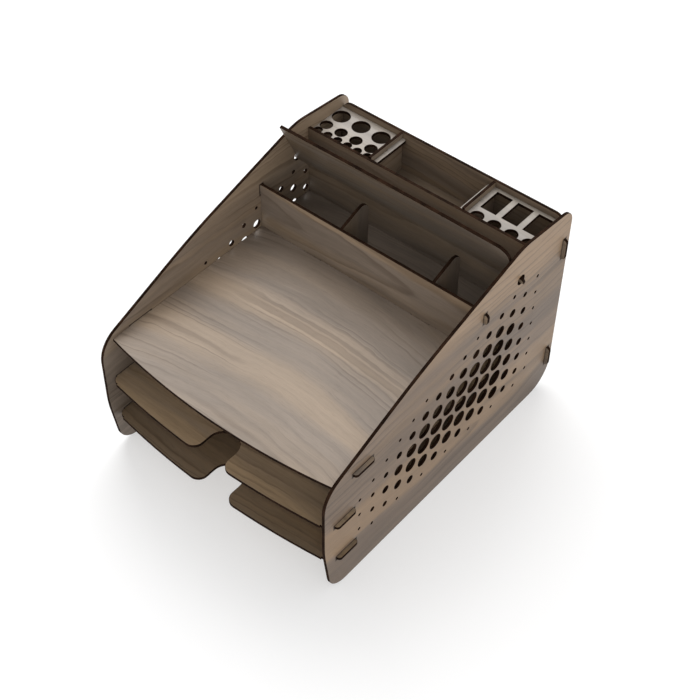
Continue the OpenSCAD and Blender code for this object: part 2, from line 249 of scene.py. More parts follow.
@dataclass
class Outline:
    """The outlines of a packed board, in the board's own plane.

    Args:
        node: Name of the CAD node.
        loops: Directed outlines, with the board on their left, in metres.
        along: The board's first axis.
        across: The board's second axis.
        normal: Direction through the board.
        level: Place of the lower face along the normal.
        thickness: Thickness of the board.
    """

    node: str
    loops: list[np.ndarray]
    along: Vector
    across: Vector
    normal: Vector
    level: float
    thickness: float

    FLAT = 0.999
    UPRIGHT = 0.9

    @classmethod
    def of_node(cls, node: str) -> "Outline":
        """Reads the outlines of a CAD node's broad face.

        Args:
            node: Name of the CAD node.

        Returns:
            The board's outlines.
        """
        mesh = frame["nodes"][node].data
        mesh.calc_loop_triangles()
        corners = np.empty(len(mesh.vertices) * 3)
        mesh.vertices.foreach_get("co", corners)
        faces = np.empty(len(mesh.loop_triangles) * 3, dtype=np.int64)
        mesh.loop_triangles.foreach_get("vertices", faces)
        points, merged = np.unique(corners.reshape(-1, 3).round(6), axis=0, return_inverse=True)
        faces = merged.ravel()[faces].reshape(-1, 3)
        a, b, c = (points[faces[:, i]] for i in range(3))
        areas = np.cross(b - a, c - a)
        sizes = np.maximum(np.linalg.norm(areas, axis=1), 1e-12)
        normal = areas[np.argmax(sizes)] / sizes.max()
        along, across, normal = cls.axes(Vector(normal))
        broad = faces[(areas @ np.array(normal)) / sizes > cls.FLAT]
        heights = points @ np.array(normal)
        flat = points @ np.array([along, across]).T
        loops = [flat[loop] for loop in cls.trace(broad)]
        return cls(node, loops, along, across, normal, heights.min(), np.ptp(heights))

    @classmethod
    def axes(cls, normal: Vector) -> tuple[Vector, Vector, Vector]:
        """Chooses a board's own axes, so that its second one points up or back.

        Args:
            normal: Direction through the board, either way.

        Returns:
            The first axis, the second axis and the normal, right-handed.
        """
        if abs(normal.x) > cls.UPRIGHT:
            return Vector((0, 1, 0)), Vector((0, 0, 1)), Vector((1, 0, 0))
        along = Vector((1, 0, 0))
        across = normal.cross(along)
        if across.y + across.z < 0:
            normal, across = -normal, -across
        return along, across, normal

    @staticmethod
    def trace(faces: np.ndarray) -> list[list[int]]:
        """Walks round the free edges of a set of triangles.

        Args:
            faces: The triangles' corners.

        Returns:
            Closed loops of corners, with the triangles on their left.
        """
        edges = {(int(f[i]), int(f[i - 2])) for f in faces for i in range(3)}
        following = {a: b for a, b in edges if (b, a) not in edges}
        loops: list[list[int]] = []
        while following:
            loop = [min(following)]
            while loop[-1] in following:
                loop.append(following.pop(loop[-1]))
            loops.append(loop[:-1])
        return loops

    def placement(self) -> Matrix:
        """Returns the matrix from the board's own plane to the frame."""
        matrix = Matrix((self.along, self.across, self.normal)).transposed().to_4x4()
        matrix.translation = self.normal * self.level
        return matrix


@dataclass(frozen=True)
class EdgeCut:
    """The shape of a laser-cut edge.

    Args:
        chamfer: Width of the softened arris.
        char_width: Width of the scorched band on the faces.
        slot_char_and_shade: How many times wider that band is round an upright board's slot, where beside the
            scorch it is painted shade in the gap above the tab.
        slot_width: Width below which a hole is a slot.
        share: Largest part of a web that one edge's band may take.
        least: Smallest share of the widths, beside a thin web.
        fan: Half angle in which the web is measured.
    """

    chamfer: float = 0.22 * MM
    char_width: float = 0.3 * MM
    slot_char_and_shade: float = 7.0
    slot_width: float = 5 * MM
    share: float = 0.42
    least: float = 0.12
    fan: float = math.radians(35)

    def inward(self, loop: np.ndarray) -> np.ndarray:
        """Returns, for each corner of a loop, the step that moves both its edges in by 1."""
        edges = np.roll(loop, -1, axis=0) - loop
        edges /= np.linalg.norm(edges, axis=1, keepdims=True)
        after = np.stack([-edges[:, 1], edges[:, 0]], axis=1)
        before = np.roll(after, 1, axis=0)
        return (after + before) / (1 + (after * before).sum(axis=1, keepdims=True))

    def stain(self, loop: np.ndarray) -> float:
        """Returns how many times wider than elsewhere an outline's dark band is: scorch, and round a slot also
        painted shade in the gap above its tab.
        """
        return self.slot_char_and_shade if np.ptp(loop, axis=0).min() < self.slot_width else 1.0

    def reach(self, loop: np.ndarray, steps: np.ndarray, loops: list[np.ndarray]) -> np.ndarray:
        """Finds how much of the full widths there is room for at each corner.

        Args:
            loop: The corners.
            steps: What inward returns for them.
            loops: All outlines of the board.

        Returns:
            A share from least to 1 for each corner.
        """
        starts = np.concatenate(loops)
        sides = np.concatenate([np.roll(other, -1, axis=0) - other for other in loops])
        room = np.full(len(loop), np.inf)
        for turn in (-self.fan, 0.0, self.fan):
            cos, sin = math.cos(turn), math.sin(turn)
            rays = steps / np.linalg.norm(steps, axis=1, keepdims=True)
            rays = rays @ np.array([[cos, sin], [-sin, cos]])
            gaps = starts[None] - loop[:, None]
            cross = rays[:, None, 0] * sides[None, :, 1] - rays[:, None, 1] * sides[None, :, 0]
            cross[np.abs(cross) < 1e-12] = np.inf
            far = (gaps[..., 0] * sides[None, :, 1] - gaps[..., 1] * sides[None, :, 0]) / cross
            part = (gaps[..., 0] * rays[:, None, 1] - gaps[..., 1] * rays[:, None, 0]) / cross
            hit = (far > 0.01 * MM) & (part >= 0) & (part <= 1)
            room = np.minimum(room, np.where(hit, far, np.inf).min(axis=1))
        return np.clip(self.share * room / self.char_width, self.least, 1.0)


class GeometryTree(NodeGraph):
    """A Geometry Nodes tree with named inputs, used through a modifier."""

    def __init__(self, name: str, inputs: dict[str, str]) -> None:
        """Makes the tree's interface.

        Args:
            name: Name of the tree.
            inputs: Socket type of each input after the geometry, by name.
        """
        super().__init__(bpy.data.node_groups.new(name, "GeometryNodeTree"))
        interface = self.tree.interface
        interface.new_socket("Geometry", in_out="INPUT", socket_type="NodeSocketGeometry")
        interface.new_socket("Geometry", in_out="OUTPUT", socket_type="NodeSocketGeometry")
        self.identifiers = {
            label: interface.new_socket(label, in_out="INPUT", socket_type=kind).identifier
            for label, kind in inputs.items()
        }
        self.given = self.node("NodeGroupInput")

    def store(self, geometry: Socket, name: str, value: object, kind: str, **more: object) -> Socket:
        """Stores a named attribute.

        Args:
            geometry: The geometry.
            name: Name of the attribute.
            value: Its value.
            kind: Its data type.
            more: Domain or selection, if not all points.

        Returns:
            The geometry with the attribute.
        """
        settings = {"data_type": kind, "domain": more.get("domain", "POINT")}
        values = {"Geometry": geometry, "Name": name, "Value": value}
        if "selection" in more:
            values["Selection"] = more["selection"]
        return self.node("GeometryNodeStoreNamedAttribute", settings, values)

    def named(self, name: str, kind: str) -> Socket:
        """Returns a named attribute as a field."""
        settings = {"data_type": kind}
        return self.node("GeometryNodeInputNamedAttribute", settings, {"Name": name}, "Attribute")

    def finish(self, geometry: Socket) -> None:
        """Links the geometry to the tree's output."""
        self.node("NodeGroupOutput", None, {"Geometry": geometry})

    def apply(self, piece: bpy.types.Object, values: dict[str, object]) -> None:
        """Adds the tree to a piece as a modifier.

        Args:
            piece: The object.
            values: Values of the named inputs.
        """
        modifier = piece.modifiers.new(self.tree.name, "NODES")
        modifier.node_group = self.tree
        for name, value in values.items():
            modifier[self.identifiers[name]] = value


@dataclass(frozen=True)
class PatternEdge:
    """An edge of the perforated field, towards which the holes shrink.

    Args:
        lines: Straight lines that make the edge. Each is the distance of the middle hole
            from the line, and the change of that distance per column and per row.
        width: Distance over which the holes grow to full size.
        power: Power of that growth, 1 if it is steady.
    """

    lines: tuple[tuple[float, float, float], ...]
    width: float
    power: float = 1.0

    def distance(self, column: Socket, row: Socket) -> Socket:
        """Returns the distance of a place in the field from the edge."""
        near, *others = (column * c + row * r + start for start, c, r in self.lines)
        for other in others:
            near = near.math("MINIMUM", other)
        return near

    def growth(self, distance: Socket) -> Socket:
        """Returns the share of the full growth at a distance from the edge."""
        return 1.0 - (1.0 - (distance / self.width).clamped()) ** self.power


@dataclass(frozen=True)
class Perforation:
    """The fading hole pattern of a side panel.

    Args:
        pitch: Distance between neighbouring holes.
        largest: Diameter of a full-size hole.
        smallest: Diameter of the holes along the field's edges.
        from_rear: Distance of the middle column in front of the panel's rear edge.
        height: Height of the middle row.
        first_column: Number of the foremost column.
        last_column: Number of the rearmost column.
        rows: Rows above and below the middle one.
        edges: Edges of the field.
        sides: Corners of a round hole.
    """

    pitch: float = 20 * MM
    largest: float = 16 * MM
    smallest: float = 3 * MM
    from_rear: float = 98.4 * MM
    height: float = 102.8 * MM
    first_column: int = -11
    last_column: int = 3
    rows: int = 4
    edges: tuple[PatternEdge, ...] = (
        PatternEdge(((3.0, 0.0, 1.0),), 2.0, 2.0),
        PatternEdge(((11.0, 1.0, 0.0),), 4.6),
        PatternEdge(((3.0, -1.0, 0.0),), 3.0),
        PatternEdge(((3.5, 0.245, -1.0), (5.02, 0.5, -1.0)), 2.2),
    )
    sides: int = 48

    def tree(self) -> GeometryTree:
        """Builds the tree that adds the holes' outlines to a panel's own."""
        graph = GeometryTree(
            "Perforation",
            {
                "Pitch": "NodeSocketFloat",
                "Largest Hole": "NodeSocketFloat",
                "Smallest Hole": "NodeSocketFloat",
                "Middle": "NodeSocketVector",
            },
        )
        given = graph.given
        per_column = 2 * self.rows + 1
        index = graph.node("GeometryNodeInputIndex")
        number = (index / per_column).math("FLOOR")
        column = number + self.first_column
        row = index - number * per_column - self.rows
        row = row + column.math("FLOORED_MODULO", 2.0) * 0.5
        smallest = given.other("Smallest Hole")
        size = given.other("Largest Hole") - smallest
        inside = column - column
        for edge in self.edges:
            distance = edge.distance(column, row)
            inside = inside.math("MINIMUM", distance)
            size = size * edge.growth(distance)
        pitch = given.other("Pitch")
        offset = graph.vector(column * pitch * math.cos(math.radians(30)), row * pitch, 0.0)
        place = graph.node(
            "ShaderNodeVectorMath", {"operation": "ADD"}, {0: given.other("Middle"), 1: offset}
        )
        count = per_column * (self.last_column - self.first_column + 1)
        points = graph.node("GeometryNodePoints", None, {"Count": count, "Position": place})
        ring = graph.node(
            "GeometryNodeMeshCircle", {"fill_type": "NONE"}, {"Vertices": self.sides, "Radius": 1.0}
        )
        ring = graph.store(ring, "inward", graph.node("GeometryNodeInputPosition"), "FLOAT_VECTOR")
        ring = graph.store(ring, "reach", 1.0, "FLOAT")
        ring = graph.store(ring, "stain", 1.0, "FLOAT")
        radius = (size + smallest) * 0.5
        holes = graph.node(
            "GeometryNodeInstanceOnPoints",
            None,
            {
                "Points": points,
                "Selection": inside.math("GREATER_THAN", -0.001),
                "Instance": ring,
                "Scale": graph.vector(radius, radius, radius),
            },
        )
        holes = graph.node("GeometryNodeRealizeInstances", None, {"Geometry": holes})
        graph.finish(graph.node("GeometryNodeJoinGeometry", None, {"Geometry": [given, holes]}))
        return graph

    def cuts(self, loop: np.ndarray) -> bool:
        """Tells whether an outline is one of this pattern's holes."""
        hinge = frame["joints"][0]["pos_m"]
        middle = (loop.max(axis=0) + loop.min(axis=0)) / 2
        at_hinge = math.dist(middle, hinge[1:]) < self.smallest
        return len(loop) > 16 and np.ptp(loop, axis=0).max() < self.pitch and not at_hinge


class Workshop:
    """Cuts boards from their outlines and puts them in place."""

    def __init__(self) -> None:
        """Reads which body and slot each node has, and builds the cutting tree."""
        record = frame["record"]
        bodies = record["behaviour"]["bodies"]
        self.bodies = {node: body for body, nodes in bodies.items() for node in nodes}
        self.slots = {part["node"]: part["material_slot"] for part in record["subparts"]}
        self.edge = EdgeCut()
        self.scorch = ScorchFinish().material()
        self.cutting = self.cutting_tree()

    @staticmethod
    def cutting_tree() -> GeometryTree:
        """Builds the tree that makes a board of its outlines.

        The outlines are swept through six rings: the inner end of the scorched band, the
        chamfer and the arris on one face, then the same on the other. What the last ring
        encloses becomes both faces.
        """
        graph = GeometryTree(
            "Cut board",
            {
                "Thickness": "NodeSocketFloat",
                "Chamfer": "NodeSocketFloat",
                "Char Width": "NodeSocketFloat",
                "Veneer": "NodeSocketMaterial",
                "Scorch": "NodeSocketMaterial",
            },
        )
        given = graph.given
        thickness, chamfer = given.other("Thickness"), given.other("Chamfer")
        # The scorched band, widened round slots, where it is also painted shade in the gap above the tab.
        band = given.other("Char Width") * graph.named("stain", "FLOAT")
        mesh = graph.store(
            given, "rim", graph.node("GeometryNodeInputPosition"), "FLOAT_VECTOR"
        )
        rim = graph.named("rim", "FLOAT_VECTOR")
        inward = graph.named("inward", "FLOAT_VECTOR")
        reach = graph.named("reach", "FLOAT")
        arris = chamfer * reach
        rings = (
            (band, 0.0, 0.0, False),
            (chamfer, 0.0, 1.0, False),
            (None, arris, 1.0, True),
            (None, thickness - arris, 1.0, True),
            (chamfer, thickness, 1.0, True),
            (band, thickness, 0.0, False),
        )
        top: object = True
        for number, (inset, height, char, cut) in enumerate(rings):
            if number:
                swept = graph.node(
                    "GeometryNodeExtrudeMesh",
                    {"mode": "EDGES"},
                    {"Mesh": mesh, "Selection": top, "Offset Scale": 0.0},
                )
                top = swept.other("Top")
                side = swept.other("Side")
                mesh = graph.store(swept, "cut", cut, "BOOLEAN", domain="FACE", selection=side)
            step = graph.vector(0.0, 0.0, height)
            if inset is not None:
                moved = graph.scaled(inward, inset * reach)
                step = graph.node("ShaderNodeVectorMath", {"operation": "ADD"}, {0: moved, 1: step})
            place = graph.node("ShaderNodeVectorMath", {"operation": "ADD"}, {0: rim, 1: step})
            mesh = graph.node(
                "GeometryNodeSetPosition",
                None,
                {"Geometry": mesh, "Selection": top, "Position": place},
            )
            mesh = graph.store(mesh, "char", char, "FLOAT", selection=top)
        curve = graph.node("GeometryNodeMeshToCurve", None, {"Mesh": mesh, "Selection": top})
        lower = graph.node("GeometryNodeFillCurve", {"mode": "TRIANGLES"}, {"Curve": curve})
        upper = graph.node(
            "GeometryNodeSetPosition",
            None,
            {"Geometry": lower, "Offset": graph.vector(0.0, 0.0, thickness)},
        )
        lower = graph.node("GeometryNodeFlipFaces", None, {"Mesh": lower})
        whole = graph.node("GeometryNodeJoinGeometry", None, {"Geometry": [mesh, lower, upper]})
        whole = graph.node(
            "GeometryNodeMergeByDistance", None, {"Geometry": whole, "Distance": 0.002 * MM}
        )
        whole = graph.node("GeometryNodeRealizeInstances", None, {"Geometry": whole})
        whole = graph.node(
            "GeometryNodeSetMaterial", None, {"Geometry": whole, "Material": given.other("Veneer")}
        )
        graph.finish(
            graph.node(
                "GeometryNodeSetMaterial",
                None,
                {
                    "Geometry": whole,
                    "Selection": graph.named("cut", "BOOLEAN"),
                    "Material": given.other("Scorch"),
                },
            )
        )
        return graph

    def blank(self, outline: Outline, pattern: Perforation | None) -> bpy.types.Object:
        """Makes a board's outlines, as edges with their inward steps.

        Args:
            outline: The board's outlines.
            pattern: The perforation that a tree makes, whose outlines are left out here.

        Returns:
            An object in the board's own plane.
        """
        corners: list[np.ndarray] = []
        edges: list[tuple[int, int]] = []
        steps: list[np.ndarray] = []
        shares: list[np.ndarray] = []
        char_and_shade_spreads: list[float] = []
        upright = abs(outline.normal.z) < 0.5
        for loop in outline.loops:
            inward = self.edge.inward(loop)
            share = self.edge.reach(loop, inward, outline.loops)
            if pattern and pattern.cuts(loop):
                continue
            first = sum(len(done) for done in corners)
            count = len(loop)
            edges += [(first + i, first + (i + 1) % count) for i in range(count)]
            corners.append(np.pad(loop, ((0, 0), (0, 1))))
            steps.append(np.pad(inward, ((0, 0), (0, 1))))
            shares.append(share)
            # Round an upright board's slots the dark band is widened: scorch and painted shade in the gap above
            # the tab.
            char_and_shade_spreads += [self.edge.stain(loop) if upright else 1.0] * count
        mesh = bpy.data.meshes.new(outline.node)
        mesh.from_pydata(np.concatenate(corners).tolist(), edges, [])
        vectors = mesh.attributes.new("inward", "FLOAT_VECTOR", "POINT")
        vectors.data.foreach_set("vector", np.concatenate(steps).ravel())
        for name, factors in (("reach", np.concatenate(shares)), ("stain", char_and_shade_spreads)):
            mesh.attributes.new(name, "FLOAT", "POINT").data.foreach_set("value", factors)
        piece = bpy.data.objects.new(f"{outline.node}_board", mesh)
        bpy.context.scene.collection.objects.link(piece)
        return piece

    def settle(self, piece: bpy.types.Object, placement: Matrix) -> None:
        """Turns a piece's modifiers into a plain mesh in its place.

        Args:
            piece: The object.
            placement: Matrix from the board's own plane to the frame.
        """
        graph = bpy.context.evaluated_depsgraph_get()
        mesh = bpy.data.meshes.new_from_object(piece.evaluated_get(graph))
        piece.modifiers.clear()
        piece.data = mesh
        mesh.transform(placement)
        shell = bmesh.new()
        shell.from_mesh(mesh)
        bmesh.ops.recalc_face_normals(shell, faces=shell.faces)
        open_edges = sum(not edge.is_manifold for edge in shell.edges)
        shell.to_mesh(mesh)
        shell.free()
        mesh.shade_smooth()
        mesh.set_sharp_from_angle(angle=math.radians(30))
        LOG.info("%s: %d faces, %d open edges", piece.name, len(mesh.polygons), open_edges)

    def cut(
        self, node: str, finish: "VeneerFinish", pattern: Perforation | None = None
    ) -> bpy.types.Object:
        """Cuts one board and sets it in the place of its CAD node.

        Args:
            node: Name of the CAD node.
            finish: Veneer of its faces.
            pattern: Perforation, on a side panel.

        Returns:
            The finished piece.
        """
        outline = Outline.of_node(node)
        piece = self.blank(outline, pattern)
        if pattern:
            middle = (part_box(node)[1][1] - pattern.from_rear, pattern.height, 0.0)
            pattern.tree().apply(
                piece,
                {
                    "Pitch": pattern.pitch,
                    "Largest Hole": pattern.largest,
                    "Smallest Hole": pattern.smallest,
                    "Middle": middle,
                },
            )
        self.cutting.apply(
            piece,
            {
                "Thickness": outline.thickness,
                "Chamfer": self.edge.chamfer,
                "Char Width": self.edge.char_width,
                "Veneer": finish.material(outline),
                "Scorch": self.scorch,
            },
        )
        self.settle(piece, outline.placement())
        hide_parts(node)
        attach(piece, self.bodies[node])
        return piece


class Surface(NodeGraph):
    """The node tree of a material with one Principled shader."""

    def __init__(self, name: str) -> None:
        """Makes an empty material."""
        self.material = bpy.data.materials.new(name)
        self.material.use_nodes = True
        super().__init__(self.material.node_tree)
        self.place = self.node("ShaderNodeTexCoord", None, None, "Object")

    def measure(self, direction: Vector) -> Socket:
        """Returns the place along a direction, in metres."""
        values = {0: self.place, 1: tuple(direction)}
        settings = {"operation": "DOT_PRODUCT"}
        return self.node("ShaderNodeVectorMath", settings, values, "Value")

    def shade(self, values: dict[str, object], height: Socket, depth: float) -> bpy.types.Material:
        """Adds the shader and its bump.

        Args:
            values: Values of the shader's sockets.
            height: Height of the relief, from 0 to 1.
            depth: Full height of the relief in metres.

        Returns:
            The finished material.
        """
        bump = self.node("ShaderNodeBump", None, {"Height": height, "Distance": depth})
        shader = self.node("ShaderNodeBsdfPrincipled", None, {**values, "Normal": bump})
        self.node("ShaderNodeOutputMaterial", None, {"Surface": shader})
        return self.material


@dataclass(frozen=True)
class ScorchFinish:
    """The burnt brown of a laser-cut edge.

    Args:
        deep: Colour of the darkest char.
        worn: Colour where the wood shows through.
        striation: Width of the beam's marks through the board.
        patch: Size of the lighter and darker patches.
        roughness: Roughness of the char.
    """

    deep: Colour = (0.0090, 0.0040, 0.0020)
    worn: Colour = (0.040, 0.0190, 0.0100)
    striation: float = 0.7 * MM
    patch: float = 14 * MM
    roughness: float = 0.85

    def material(self) -> bpy.types.Material:
        """Builds the material."""
        graph = Surface("scorched_edge")
        marks = graph.noise(graph.scaled(graph.place, 1 / self.striation), 3.0, 0.6)
        patches = graph.noise(graph.scaled(graph.place, 1 / self.patch))
        colour = graph.mixed((marks * 0.5 + patches * 0.5).between(0.38, 0.70), self.deep, self.worn)
        values = {"Base Color": colour, "Roughness": self.roughness, "Specular IOR Level": 0.05}
        return graph.shade(values, marks, 0.05 * MM)


@dataclass(frozen=True)
class VeneerFinish:
    """A walnut veneer cut close to the heart of the log, in satin varnish.

    Broad warm and cool bands follow the grain. Thin dark growth lines lie over them: they
    are cuts through cones round the heart, so they close in arches along the grain, and
    each comes and goes.

    Args:
        cool: Colour of the greyish bands.
        warm: Colour of the tan bands.
        line: Colour of the growth lines.
        char: Colour of the scorched band, which round slots is also painted shade.
        tone_and_light: Lightness of the board, as a factor: partly the board's own colour, partly painted light
            and shade matched to how brightly the board is lit.
        drift: Change of lightness along the grain and across it, per metre.
        arch: How far the grain bows across itself, per square metre of its length.
        streaks_and_painted_light: Broad bands along the grain, each by its middle, its half width,
            and its strength, above 0 if it is light and warm and below 0 if it is dark and cool.
            Some of them are painted shade, and one is a painted highlight.
        heart: Place of the log's heart along the grain and across it.
        depth: Distance of the cut from the heart, at that place.
        taper: Change of that distance along the grain.
        ring: Width of a growth ring.
        band: Width of the broad bands.
        figure: Strength of the growth lines.
        ribbon: Strength of the narrow streaks.
        fibre: Strength of the fine fibres.
        cloud: Strength of the broad patches.
        roughness: Roughness of the varnish.
        grain: Way that the grain runs.
        seed: Place in the noise.
    """

    cool: Colour = (0.240, 0.192, 0.152)
    warm: Colour = (0.285, 0.211, 0.144)
    line: Colour = (0.085, 0.055, 0.034)
    char: Colour = (0.020, 0.013, 0.0085)
    tone_and_light: float = 1.0
    drift: tuple[float, float] = (0.0, 0.0)
    arch: float = 0.0
    streaks_and_painted_light: tuple[Colour, ...] = ()
    heart: tuple[float, float] = (0.0, 0.0)
    depth: float = 0.03
    taper: float = 0.06
    ring: float = 8 * MM
    band: float = 26 * MM
    figure: float = 0.40
    # ribbon: Strength of the narrow stripes.
    ribbon: float = 0.7
    fibre: float = 0.3
    cloud: float = 0.5
    roughness: float = 0.42
    grain: Grain = Grain.LENGTHWISE
    seed: float = 0.0

    def material(self, board: Outline) -> bpy.types.Material:
        """Builds the material for one board.

        Args:
            board: The board, for its axes and name.

        Returns:
            The material.
        """
        graph = Surface(f"veneer_{board.node}")
        axes = (board.along, board.across)
        if self.grain is Grain.CROSSWISE:
            axes = (board.across, board.along)
        along, across = (graph.measure(axis) for axis in axes)
        layer = graph.measure(board.normal) * 60.0 + self.seed
        wander = graph.noise(graph.vector(along * 5.0, across * 8.0, layer), 1.0)
        waver = graph.noise(graph.vector(along * 22.0, across * 55.0, layer + 7.0), 3.0, 0.6)
        bent = across + (wander - 0.5) * 0.030 + (waver - 0.5) * 0.008
        bent = bent + (along - self.heart[0]) ** 2.0 * self.arch
        lines, pale = self.growth(graph, along, bent, layer)
        bands = graph.noise(graph.vector(along * 2.2, bent / self.band, layer + 5.0), 2.0, 0.6)
        clouds = graph.noise(graph.vector(along * 7.0, across * 12.0, layer + 11.0), 2.0)
        ribbons = graph.noise(graph.vector(along * 14.0, bent * 150.0, layer + 3.0), 4.0, 0.62)
        strands = graph.noise(graph.vector(along * 16.0, bent * 800.0, layer), 3.0, 0.6)
        pores = graph.noise(graph.vector(along * 110.0, bent * 2600.0, layer), 1.0)
        light = 1.0 + (clouds - 0.5) * self.cloud + (strands - 0.5) * self.fibre
        light = light + (ribbons - 0.5) * self.ribbon + pale * 0.07
        light = light + along * self.drift[0] + across * self.drift[1]
        warmth = bands.between(0.36, 0.64)
        # Adds the bands: the veneer's own, and on some boards painted shade and a painted highlight.
        for middle, reach, strength in self.streaks_and_painted_light:
            streak_and_painted_light = (bent - middle).math("ABSOLUTE").between(reach, reach * 0.5) * strength
            light = light + streak_and_painted_light * 0.12
            warmth = warmth + streak_and_painted_light * 0.6
        colour = graph.mixed(warmth.clamped(), self.toned_and_lit(self.cool), self.toned_and_lit(self.warm))
        colour = graph.scaled(colour, light)
        colour = graph.mixed(lines * self.figure, colour, self.toned_and_lit(self.line))
        pores = pores.between(0.60, 0.74)
        colour = graph.mixed(pores * 0.25, colour, self.toned_and_lit(self.line))
        char = graph.node(
            "ShaderNodeAttribute",
            {"attribute_type": "GEOMETRY", "attribute_name": "char"},
            None,
            "Fac",
        )
        # Darkening by the scorched band, which round slots is also painted shade.
        burnt = ((char * 1.8) ** 1.7 * (0.75 + strands * 0.5)).clamped()
        colour = graph.mixed(burnt * 0.86, colour, self.char)
        gloss = self.roughness + (strands - 0.5) * 0.18 + burnt * 0.25
        values = {"Base Color": colour, "Roughness": gloss, "Specular IOR Level": 0.3}
        return graph.shade(values, strands * 0.6 - pores * 0.4, 0.05 * MM)

    def toned_and_lit(self, colour: Colour) -> Colour:
        """Returns a colour at the board's lightness: its own colour with painted light and shade."""
        return tuple(part * self.tone_and_light for part in colour)

    def growth(
        self, graph: Surface, along: Socket, bent: Socket, layer: Socket
    ) -> tuple[Socket, Socket]:
        """Draws the growth lines.

        Args:
            graph: The material's tree.
            along: Place along the grain.
            bent: Place across the grain, with its bends.
            layer: Place in the noise.

        Returns:
            Strength of the dark lines and of the pale wood next to them, from 0 to 1.
        """
        aside = bent - self.heart[1]
        deep = (along - self.heart[0]) * self.taper + self.depth
        radius = (aside * aside + deep * deep).math("SQRT")
        unequal = graph.noise(graph.vector(radius * 60.0, layer, 0.0), 1.0)
        phase = radius / self.ring + (unequal - 0.5) * 4.0
        number = phase.math("FLOOR")
        part = phase - number
        dark = part.between(0.60, 0.93) * (1.0 - part.between(0.93, 1.0))
        pale = part.between(0.0, 0.05) * (1.0 - part.between(0.05, 0.40))
        shown = graph.noise(graph.vector(along * 7.0, bent * 14.0, layer), 2.0).between(0.38, 0.60)
        return dark * shown, pale * shown


@dataclass
class SubAssembly:
    """Boards that belong together.

    Args:
        finishes: Veneer of each board, by its node.
        pattern: Perforation of the boards, if they have one.
    """

    finishes: dict[str, VeneerFinish] = field(default_factory=dict)
    pattern: Perforation | None = None

    def build(self, workshop: Workshop) -> list[bpy.types.Object]:
        """Cuts the boards in order.

        Args:
            workshop: What cuts them.

        Returns:
            The finished pieces.
        """
        return [workshop.cut(node, veneer, self.pattern) for node, veneer in self.finishes.items()]


class SidePanels(SubAssembly):
    """The two perforated side panels."""

    def __init__(self) -> None:
        """Chooses the veneers and the hole pattern."""
        right = VeneerFinish(
            cool=(0.260, 0.182, 0.126),
            warm=(0.312, 0.206, 0.122),
            # Darkened partly as painted shade on the outer face; the drift makes it darker towards the rear and
            # lighter towards the top.
            tone_and_light=0.72,
            drift=(-0.5, 0.5),
            streaks_and_painted_light=((0.215, 0.045, 2.4), (0.12, 0.02, -1.0), (0.06, 0.03, 1.4), (0.01, 0.035, -1.6)),
            heart=(-0.02, 0.045),
            depth=0.02,
            taper=0.05,
            ring=9 * MM,
            seed=1.0,
        )
        left = VeneerFinish(
            # Lightened partly as painted light. The first band is painted shade on the inner face below the deck;
            # the second makes the panel lighter along its top.
            tone_and_light=1.1,
            streaks_and_painted_light=((0.03, 0.11, -2.2), (0.205, 0.03, 1.5)),
            heart=(0.05, 0.12),
            taper=0.05,
            ring=9 * MM,
            seed=21.0,
        )
        super().__init__({"side_panel_right": right, "side_panel_left": left}, Perforation())


class LetterTrays(SubAssembly):
    """The back panel, the two letter shelves and the top board."""

    def __init__(self) -> None:
        """Chooses the veneers."""
        brown = {"cool": (0.245, 0.184, 0.128), "warm": (0.290, 0.205, 0.124)}
        super().__init__(
            {
                # Lightness is partly painted light and shade: the middle shelf is lightened, the bottom shelf and
                # the back panel darkened.
                "back_panel": VeneerFinish(tone_and_light=0.85, heart=(0.0, 0.16), seed=31.0),
                "shelf_bottom": VeneerFinish(tone_and_light=0.8, heart=(0.05, -0.10), seed=41.0, **brown),
                "shelf_middle": VeneerFinish(tone_and_light=1.33, heart=(-0.05, -0.12), seed=51.0, **brown),
                "shelf_top": VeneerFinish(
                    tone_and_light=1.05,
                    warm=(0.285, 0.217, 0.156),
                    heart=(0.02, -0.19),
                    depth=0.03,
                    taper=0.10,
                    ring=11 * MM,
                    arch=0.8,
                    band=36 * MM,
                    figure=0.38,
                    ribbon=0.5,
                    cloud=0.40,
                    streaks_and_painted_light=(
                        # Painted shade on the compartment floor under the lid.
                        (0.12, 0.08, -3.2),
                        (0.02, 0.05, -0.8),
                        (-0.025, 0.018, 1.2),
                        (-0.06, 0.03, -0.6),
                        (-0.092, 0.02, 0.5),
                        (-0.132, 0.03, -0.6),
                    ),
                    seed=61.0,
                ),
            }
        )


class LiddedCompartment(SubAssembly):
    """The lip, the rear wall and the fins of the compartment under the lid."""

    def __init__(self) -> None:
        """Chooses the veneers."""
        # The fins are darkened as painted shade in the compartment under the lid.
        fins = {"tone_and_light": 0.7, "heart": (0.16, 0.2), "grain": Grain.CROSSWISE}
        super().__init__(
            {
                # The lip's band along its top edge is a painted highlight, and its raised lightness is partly
                # painted light; the rear wall is darkened partly as painted shade.
                "compartment_lip": VeneerFinish(
                    tone_and_light=1.1, streaks_and_painted_light=((0.187, 0.010, 1.6),), heart=(0.02, 0.16), seed=71.0
                ),
                "compartment_rear_wall": VeneerFinish(tone_and_light=0.9, heart=(-0.04, 0.18), seed=81.0),
                "compartment_fin_left": VeneerFinish(seed=91.0, **fins),
                "compartment_fin_right": VeneerFinish(seed=101.0, **fins),
            }
        )


